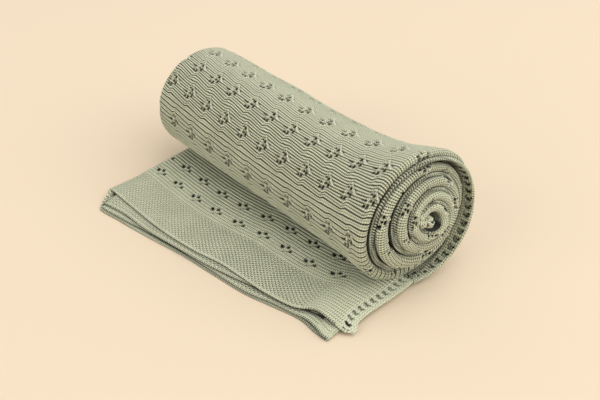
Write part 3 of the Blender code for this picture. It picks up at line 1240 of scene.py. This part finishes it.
def woundFold(name, startTurn, endTurn, startAngle, steps):
    length, course = arcAlong(foldMiddle, 0.0, startTurn, endTurn, step)

    def section(edges):
        near = foldReach + 0 * edges["nose"]
        far = foldReach + stub + 0 * edges["nose"]
        runs = [foldRun(edges, startAngle, 90, steps), layerRun(edges, "top", 1, near, far, stubSteps)]
        if startAngle < 0:
            runs.insert(0, layerRun(edges, "bottom", -1, far, near, stubSteps))
        return runs
    endsAt = endTurn if endTurn == turns else None
    layCloth(name, section, course, plainRibs(length), np.ptp(length), endsAt=endsAt)


woundFold("left_fold_outer_turn", 0.0, 1.03, 0, 8)
woundFold("left_fold_inner_turns", 1.03, turns, -90, 16)


# The flat end: the top layer, with its hem, and the layers below

lastCourse = 0.9999              # the flat end stops just before the line under the roll
hemSheet = {
    "across": 245,               # the columns are counted over these widths
    "acrossBelow": 235,
    "length": 150.0,             # about the way from the hem's edge to the line under the roll
    "rowStep": 3.25 / 6,
    "columnStep": 0.95,
    "hiddenAfter": 112.0,        # the rows are wider apart under the roll
    "hiddenTo": 152,
    "hiddenStep": 3.0,
    "rimRows": 9,
    "topUnder": 10,              # the top layer is turned back under its rim this far
    "topLaid": 162,              # its length laid flat
    "underStep": 1.0,
    "underStepBelow": 1.2,
    "edgeUnder": 12,
    "edgeUnderSteps": 8,
    "turnSteps": 6,              # round a fold, a nose or a free edge
    "innerFoldSteps": 5,
    "belowHidden": (3, 15),      # a lower layer goes on behind what shows of it
    "belowLaid": 17,             # and that adds this to its length laid flat
}
# pairs are a place and the width that the change takes, unless a note says otherwise
hemLook = {
    "leaves": (40, 80),          # from this length to that
    "leavesEnd": (226, 6),
    "calmed": 0.6,
    "bandPast": 2,               # the dotted hem fades out up to this far past its width
    "bandFade": 5,
    "bandEndFade": 8,
    "bandCalm": (0.9, 0.4),      # the ribs are weaker in the dotted hem, on the top layer and below it
    "border": 10.5,              # the free edge's ribbed border
    "borderFade": 2,
    "borderCalm": 0.8,
    # the border's ridge is raised and takes a painted highlight
    "borderRidge": 0.25,
    "slots": 12,                 # lie this far in from the free edge
    "dotsAndPaintedShade": (0.85, 0.6),         # least, and what is added to the right
    "dotsDeepen": (20, 110),
    "dotsStart": 2.5,
    "ribs": (0.4, 0.7),          # least, and what is added towards the roll, where the deeper ribs' painted furrow shade also stands in for the roll's shadow on the flat end
    "ribsRise": (44, 34),
    "ribsFront": 0.06,
    "ribsFade": (44, 6),
    "sideFade": 6,
    "rim": 1.6,
    "knob": 2.9,                 # from knob to knob along the rim
    "knobs": (0.18, 0.12),       # raised with a painted highlight, and sunk with painted shade between
    "beneath": 1.5,              # painted shade this far in under the rim
    "turnedUnder": 2,            # where the skin's tip is past this, in radians
    "paintedShadow": 0.95,             # painted shadow under the next layer's end, and a fainter one in front of it
    "coverEdge": (-0.6, 1.6),
    "coverNear": (-4, 4),
    "coverFaint": 0.4,
    "coverFrom": (2, 5),         # but not round the left fold
    "even": (0.3, 0.4),          # the painted shade in the stitches' gaps is weaker in the dotted hem and on the border
    "evenRise": (20, 80),
    "evenBelow": 0.3,
}


def hemFields(lengths, tip, above=None):
    def fields(skin, course, edges):
        u = skin["u"]
        look = hemLook
        along = toEvery(lengths, skin)
        bandEnds = hemPattern["bandEnds"]
        first, last = look["leaves"]
        rows = [row for row in leafRows(hemPattern, first, last) if first < row[0] < last]
        inBand = fall(along, (hemPattern["bandWidth"] + look["bandPast"], look["bandFade"]))
        inBand = inBand * fall(u, (bandEnds, look["bandEndFade"]))
        pushed = along + pushOf(hemPattern, u, along, rows) * (1 - inBand)
        eyelet, _, _, calm = leafRelief(hemPattern, hemEyelets, u, pushed, rows)
        leafy = fall(u, look["leavesEnd"])
        border = rise(u, (edges["topEdge"] - look["border"], look["borderFade"]))
        marks = markRelief(edges["topEdge"], u, along) * (u > edges["topEdge"] - look["slots"])
        least, more = look["dotsAndPaintedShade"]
        dotsAndPaintedShade = dotRelief(u, along) * inBand * (least + more * rise(u, look["dotsDeepen"]))
        dotsAndPaintedShade = dotsAndPaintedShade * ease(along / look["dotsStart"])
        least, more = look["ribs"]
        front = look["ribsFront"] * fall(along, look["ribsFade"])
        front = front * fall(u, (bandEnds + look["sideFade"], look["bandEndFade"]))
        ribs = least + more * rise(along, look["ribsRise"]) - front
        ribs = ribs * (1 - look["calmed"] * calm * leafy)
        ribs = ribs * (1 - look["bandCalm"][1 if above else 0] * inBand) * (1 - look["borderCalm"] * border)
        # knobs along the hem's rim, raised with a painted highlight and with painted shade between them, and
        # painted shadow under the rim and where a layer lies under another
        rim = ease(1 - along / look["rim"])
        knobs = 0.5 + 0.5 * np.sin(2 * math.pi * u / look["knob"])
        paintedShadow = ease(along / look["beneath"]) * (toEvery(tip, skin) > look["turnedUnder"])
        if above:
            own = hemEndAt(skin["across"], skin["level"], skin["inFold"])
            past = along - readTable(above, "past", skin["across"]) + own
            faint = look["coverFaint"] * rise(past, look["coverNear"])
            paintedShadow = np.maximum(paintedShadow, np.maximum(rise(past, look["coverEdge"]), faint))
        paintedShadow = paintedShadow * rise(skin["across"], look["coverFrom"]) * ~skin["inFold"]
        dotsAndPaintedShade = np.maximum(dotsAndPaintedShade, rim * (1 - knobs) * look["knobs"][1])
        even = look["even"][0] * inBand * rise(u, look["evenRise"])
        even = np.maximum(even, look["even"][1] * rise(u, (bandEnds, look["sideFade"])))
        length = clothLength(skin["across"], skin["level"], skin["inFold"])
        return {
            "course": np.clip(pushed / length, 0, lastCourse),
            "ribPhase": along / hemPattern["rib"],
            "ribPaired": 0.0,
            "ribStrength": ribs,
            "ridge": look["borderRidge"] * border + rim * knobs * look["knobs"][0],
            "eyelet": np.maximum(eyelet * leafy, marks),
            "dotsAndPaintedShade": np.maximum(dotsAndPaintedShade, paintedShadow * look["paintedShadow"]),
            "even": even * (look["evenBelow"] if above else 1),
        }
    return fields


def roundHem(under, shown, hidden):
    # lengths from the hem and the skin's tip for rows from beneath, round the rim and over the top
    rim = np.linspace(math.pi, 0, hemSheet["rimRows"])
    lengths = np.concatenate([under[::-1], 0 * rim[1:-1], shown, hidden])
    tip = np.concatenate([np.full(len(under), math.pi), rim[1:-1], np.zeros(len(shown) + len(hidden))])
    return lengths, tip


def shownRows(seen):
    return np.arange(0, round(seen / hemSheet["rowStep"]) + 1) * hemSheet["rowStep"]


def hemTop():
    # the top layer, from under its front edge to beneath the roll
    shown = shownRows(hemSheet["hiddenAfter"])
    hidden = np.arange(shown[-1] + hemSheet["hiddenStep"], hemSheet["hiddenTo"], hemSheet["hiddenStep"])
    under = evenly(0, hemSheet["topUnder"], hemSheet["underStep"])
    lengths, tip = roundHem(under, shown, hidden)
    columns = round(hemSheet["across"] / hemSheet["columnStep"])

    def section(edges):
        edge = edges["topEdge"]
        return [
            foldRun(edges, 0, 90, hemSheet["turnSteps"]),
            layerRun(edges, "top", 1, foldReach, edge, columns),
            rimRun(edges, "top", hemSheet["turnSteps"]),
            layerRun(edges, "top", -1, edge, edge - hemSheet["edgeUnder"], hemSheet["edgeUnderSteps"]),
        ]
    course = np.clip(lengths / hemSheet["length"], 0, lastCourse)
    layCloth("hem_top", section, course, hemFields(lengths, tip), hemSheet["topLaid"], tip)


def hemBelow(name, layerName, above, seen, under):
    # a lower layer's end: what shows of it in front, its rim, and a stretch beneath and behind
    shown = shownRows(seen)
    first, last = hemSheet["belowHidden"]
    hidden = evenly(shown[-1] + first, shown[-1] + last, hemSheet["hiddenStep"])
    lengths, tip = roundHem(evenly(0, under, hemSheet["underStepBelow"]), shown, hidden)
    columns = round(hemSheet["acrossBelow"] / hemSheet["columnStep"])
    steps, innerSteps = hemSheet["turnSteps"], hemSheet["innerFoldSteps"]

    def section(edges):
        if layerName == "second":
            return [
                innerFoldRun(edges, 90, innerSteps, 1),
                layerRun(edges, "second", 1, edges["innerFoldEnds"], edges["secondEdge"], columns),
                rimRun(edges, "second", steps),
            ]
        if layerName == "third":
            return [
                innerFoldRun(edges, -90, innerSteps, -1),
                layerRun(edges, "third", 1, edges["innerFoldEnds"], edges["straight"], columns),
                noseRun(edges, 90, 0, steps),
            ]
        return [
            foldRun(edges, 0, -90, steps, -1),
            layerRun(edges, "bottom", 1, edges["foldEnds"], edges["straight"], columns),
            noseRun(edges, -90, 0, steps, -1),
        ]
    course = np.clip(lengths / hemSheet["length"], 0, lastCourse)
    laid = seen + under + hemSheet["belowLaid"]
    layCloth(name, section, course, hemFields(lengths, tip, above), laid, tip)


flatNoseSheet = {"starts": 0.3, "under": (10, 12), "steps": (4, 12, 5)}


def flatNose():
    # the nose under the top layer's free edge
    middle = (levels["bottom"] + levels["third"]) / 2
    whole = float(clothLength(np.array(layOfHem["nose"]), np.array(middle), False))
    length = evenly(flatNoseSheet["starts"], whole, hemSheet["rowStep"])

    def section(edges):
        straight = edges["straight"]
        below, above = flatNoseSheet["under"]
        lower, outer, upper = flatNoseSheet["steps"]
        return [
            layerRun(edges, "bottom", -1, straight - below, straight, lower),
            noseRun(edges, -90, 90, outer),
            layerRun(edges, "third", 1, straight, straight - above, upper),
        ]
    fields = plainRibs(length, braid["strength"])
    layCloth("flat_nose", section, np.clip(length / whole, 0, lastCourse), fields, whole)


hiddenSheet = {
    "starts": 3,
    "ends": 149,
    "rowStep": 3.0,
    "columns": 58,
    "rimSteps": 4,
    "foldFrom": 20,              # the underside begins this many degrees up the outer fold
    "foldSteps": 7,
    "laid": 118,
}


def flatHidden():
    # the second layer under the top one's holes, painted dark as the shade seen through them, and the
    # underside
    columns = hiddenSheet["columns"]
    length = evenly(hiddenSheet["starts"], hiddenSheet["ends"], hiddenSheet["rowStep"])
    course = np.clip(length / hiddenSheet["ends"], 0, lastCourse)

    def second(edges):
        return [
            layerRun(edges, "second", 1, edges["innerFoldEnds"], edges["secondEdge"], columns),
            rimRun(edges, "second", hiddenSheet["rimSteps"]),
        ]

    def under(edges):
        return [
            foldRun(edges, hiddenSheet["foldFrom"], -90, hiddenSheet["foldSteps"]),
            layerRun(edges, "bottom", -1, edges["foldEnds"], edges["straight"], columns),
        ]
    layCloth("flat_second_layer", second, course, shaded, hiddenSheet["laid"])
    layCloth("flat_underside", under, course, plainRibs(length, 0), hiddenSheet["laid"])


def restOnFloor(mesh):
    # no stitch goes below the floor
    places = np.empty(len(mesh.vertices) * 3, dtype=np.float32)
    mesh.vertices.foreach_get("co", places)
    places[2::3] = np.maximum(places[2::3], 0)
    mesh.vertices.foreach_set("co", places)
    mesh.update()


hemTop()
hemBelow("hem_second", "second", topEnd, seen=22, under=4)
hemBelow("hem_third", "third", secondEnd, seen=20, under=5)
hemBelow("hem_bottom", "bottom", thirdEnd, seen=7, under=9)
flatNose()
flatHidden()

for name, (piece, width, length) in pieces.items():
    restOnFloor(piece.data)
    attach(piece, "root")
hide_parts("blanket")
print("cloth laid:", sum(len(p.data.polygons) * 2 for p, _, _ in pieces.values()), "triangles")


# Floor, lights and camera

studio = {
    "floor": (0.72, 0.60, 0.455, 1),
    "floorHalf": 6.0,
    "world": (1.0, 0.97, 0.93, 1),
    "worldStrength": 0.74,
    "lens": 58.49,
    "camera": (0.4695, -0.4265, 0.4666),
    "right": (0.6732, 0.7376, 0.0523),
    "up": (-0.4500, 0.3525, 0.8205),
    "forward": (-0.5868, 0.5759, -0.5692),
    "lightsAimAt": (0, 0, 0.04),
}
lamps = {
    "key": {"place": (1.35, 1.0, 2.8), "size": 5.4, "power": 101, "colour": (1.0, 0.985, 0.95)},
    "fill": {"place": (-0.4, -3.6, 1.5), "size": 3.0, "power": 44, "colour": (1.0, 0.975, 0.94)},
}


def makeFloor():
    mesh = bpy.data.meshes.new("floor")
    half = studio["floorHalf"]
    corners = [(-half, -half, 0), (half, -half, 0), (half, half, 0), (-half, half, 0)]
    mesh.from_pydata(corners, [], [(0, 1, 2, 3)])
    floor = addObject("floor", mesh)
    material = bpy.data.materials.new("warm paper")
    material.use_nodes = True
    shader = material.node_tree.nodes["Principled BSDF"]
    shader.inputs["Base Color"].default_value = studio["floor"]
    shader.inputs["Roughness"].default_value = 0.9
    mesh.materials.append(material)


def addLight(name):
    lamp = lamps[name]
    data = bpy.data.lights.new(name, "AREA")
    data.shape = "DISK"
    data.size = lamp["size"]
    data.energy = lamp["power"]
    data.color = lamp["colour"]
    light = addObject(name, data)
    light.location = lamp["place"]
    direction = Vector(studio["lightsAimAt"]) - light.location
    light.rotation_euler = direction.to_track_quat("-Z", "Y").to_euler()


def makeCamera():
    data = bpy.data.cameras.new("camera")
    data.lens = studio["lens"]
    data.sensor_width = 36
    camera = addObject("camera", data)
    columns = (studio["right"], studio["up"], tuple(-x for x in studio["forward"]))
    turn = Matrix(columns).transposed().to_4x4()
    camera.matrix_world = Matrix.Translation(studio["camera"]) @ turn
    bpy.context.scene.camera = camera


makeFloor()
for lamp in lamps:
    addLight(lamp)
makeCamera()
world = bpy.data.worlds.new("studio")
world.use_nodes = True
world.node_tree.nodes["Background"].inputs["Color"].default_value = studio["world"]
world.node_tree.nodes["Background"].inputs["Strength"].default_value = studio["worldStrength"]
bpy.context.scene.world = world
bpy.context.scene.view_settings.view_transform = "Standard"
print("studio set")
